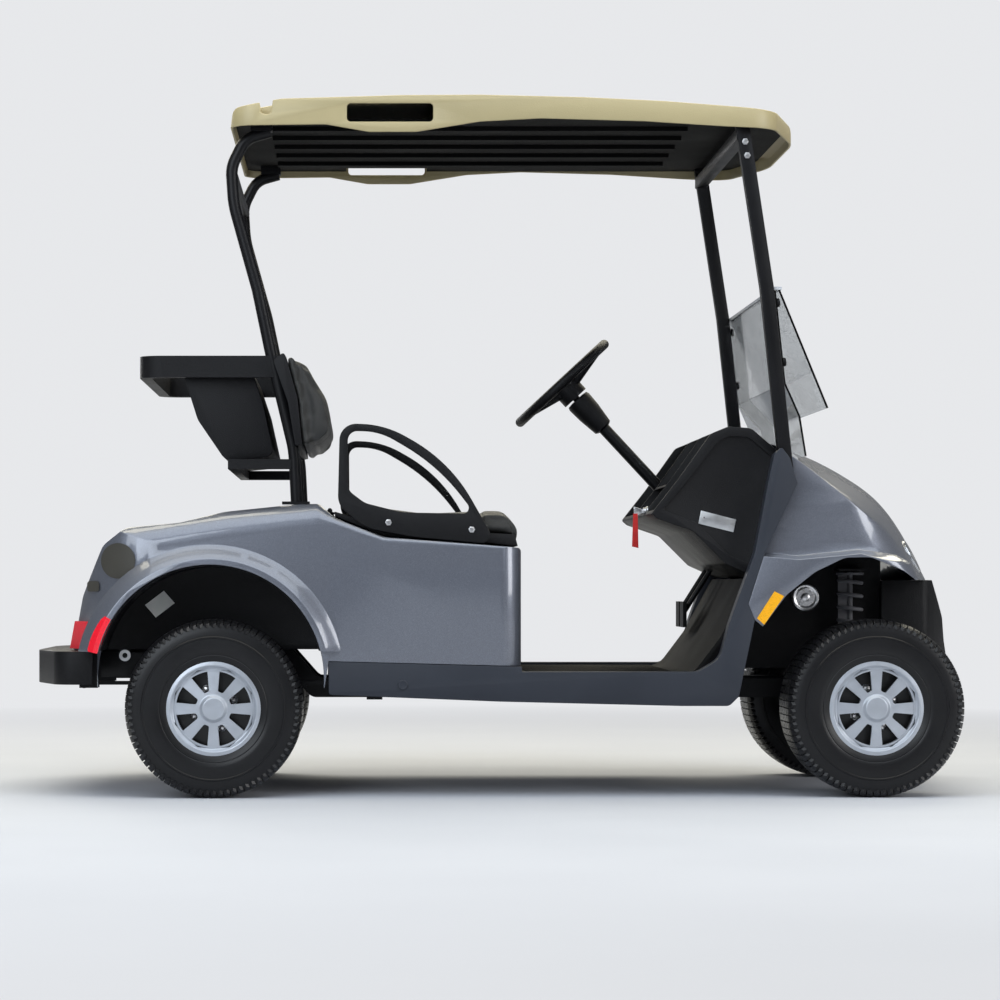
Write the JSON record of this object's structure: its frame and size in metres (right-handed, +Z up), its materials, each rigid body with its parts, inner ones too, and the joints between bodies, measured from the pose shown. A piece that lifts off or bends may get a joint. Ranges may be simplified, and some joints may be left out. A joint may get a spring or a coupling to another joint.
{
  "type": "golf cart",
  "caption": "Electric golf cart with a bench seat, canopy roof on posts, folded clear windshield, rear bag well and rack, steered front wheels and a lifting seat.",
  "frame": {"origin": "on the ground, under the middle of the overall box", "axes": "+X to the front, +Y to the driver's left, +Z up"},
  "size_m": [2.3987, 1.1766, 1.7699],
  "materials": {
    "charcoal_paint": "metallic gloss",
    "slate_trim": "satin textured",
    "black_plastic": "matte grained",
    "black_steel": "satin black paint",
    "black_rubber": "matte",
    "black_vinyl": "grained vinyl",
    "beige_plastic": "satin",
    "clear_pane": "clear",
    "clear_strip": "gloss",
    "lamp_lens": "clear gloss",
    "amber_lens": "gloss",
    "red_lens": "gloss",
    "silver_cover": "silver paint",
    "tyre": "matte",
    "cast_iron": "rough",
    "bright_steel": "zinc",
    "battery_case": "satin"
  },
  "bodies": {
    "chassis": {"backrest_cushion": "black_vinyl", "backrest_shell": "black_plastic", "bag_rack": "black_plastic", "bag_well": "black_plastic", "basket": "black_plastic", "battery_pack": "battery_case", "chassis_frame": "black_steel", "cowl": "charcoal_paint", "dashboard": "black_plastic", "floor_mat": "black_rubber", "floor_pan": "slate_trim", "front_bumper": "black_plastic", "front_liners": "black_plastic", "front_posts": "black_steel", "front_reflectors": "amber_lens", "front_shocks": "black_steel", "front_suspension": "black_steel", "headlamps": "lamp_lens", "horn": "bright_steel", "pedals": "black_steel", "rear_axle": "cast_iron", "rear_body": "charcoal_paint", "rear_bumper": "black_plastic", "rear_struts": "black_steel", "rear_suspension": "black_steel", "roof": "beige_plastic", "roof_liner": "black_plastic", "seat_hinges": "black_steel", "steering_column": "black_steel", "tail_caps": "black_plastic", "tail_lamps": "red_lens", "windshield": "clear_pane", "windshield_fittings": "clear_strip"},
    "front_left_knuckle": {"knuckle_left": "cast_iron"},
    "front_right_knuckle": {"knuckle_right": "cast_iron"},
    "front_left_wheel": {"wheel_front_left": "silver_cover", "tyre_front_left": "tyre"},
    "front_right_wheel": {"wheel_front_right": "silver_cover", "tyre_front_right": "tyre"},
    "rear_left_wheel": {"wheel_rear_left": "silver_cover", "tyre_rear_left": "tyre"},
    "rear_right_wheel": {"wheel_rear_right": "silver_cover", "tyre_rear_right": "tyre"},
    "tie_rod": {"tie_rod": "black_steel"},
    "steering_wheel": {"steering_wheel": "black_rubber"},
    "seat_bottom": {"seat_pan": "black_plastic", "seat_cushion": "black_vinyl", "hip_restraints": "black_plastic"}
  },
  "joints": [
    {"name": "left_knuckle_steer", "type": "hinge", "parent": "chassis", "child": "front_left_knuckle", "pos_m": [0.94, 0.318, 0.225], "axis": [0, 0, 1], "range_deg": [-28, 28]},
    {"name": "front_left_wheel_spin", "type": "hinge", "parent": "front_left_knuckle", "child": "front_left_wheel", "pos_m": [0.94, 0.45, 0.225], "axis": [0, 1, 0], "continuous": true},
    {"name": "rear_left_wheel_spin", "type": "hinge", "parent": "chassis", "child": "rear_left_wheel", "pos_m": [-0.73, 0.4825, 0.225], "axis": [0, 1, 0], "continuous": true},
    {"name": "right_knuckle_steer", "type": "hinge", "parent": "chassis", "child": "front_right_knuckle", "pos_m": [0.94, -0.318, 0.225], "axis": [0, 0, 1], "range_deg": [-28, 28]},
    {"name": "front_right_wheel_spin", "type": "hinge", "parent": "front_right_knuckle", "child": "front_right_wheel", "pos_m": [0.94, -0.45, 0.225], "axis": [0, 1, 0], "continuous": true},
    {"name": "rear_right_wheel_spin", "type": "hinge", "parent": "chassis", "child": "rear_right_wheel", "pos_m": [-0.73, -0.4825, 0.225], "axis": [0, 1, 0], "continuous": true},
    {"name": "tie_rod_slide", "type": "slide", "parent": "chassis", "child": "tie_rod", "axis": [0, 1, 0], "range_m": [-0.054, 0.054]},
    {"name": "steering_wheel_turn", "type": "hinge", "parent": "chassis", "child": "steering_wheel", "pos_m": [0.195, 0.25, 1.091], "axis": [-0.6801, 0, 0.7331], "range_deg": [-337, 337]},
    {"name": "seat_lift", "type": "hinge", "parent": "chassis", "child": "seat_bottom", "pos_m": [-0.44, 0, 0.729], "axis": [0, -1, 0], "range_deg": [0, 55]}
  ],
  "couplings": [
    {"joint": "right_knuckle_steer", "follows": "left_knuckle_steer", "ratio": 1},
    {"joint": "tie_rod_slide", "follows": "left_knuckle_steer", "m_per_rad": -0.108},
    {"joint": "steering_wheel_turn", "follows": "left_knuckle_steer", "ratio": 12}
  ]
}
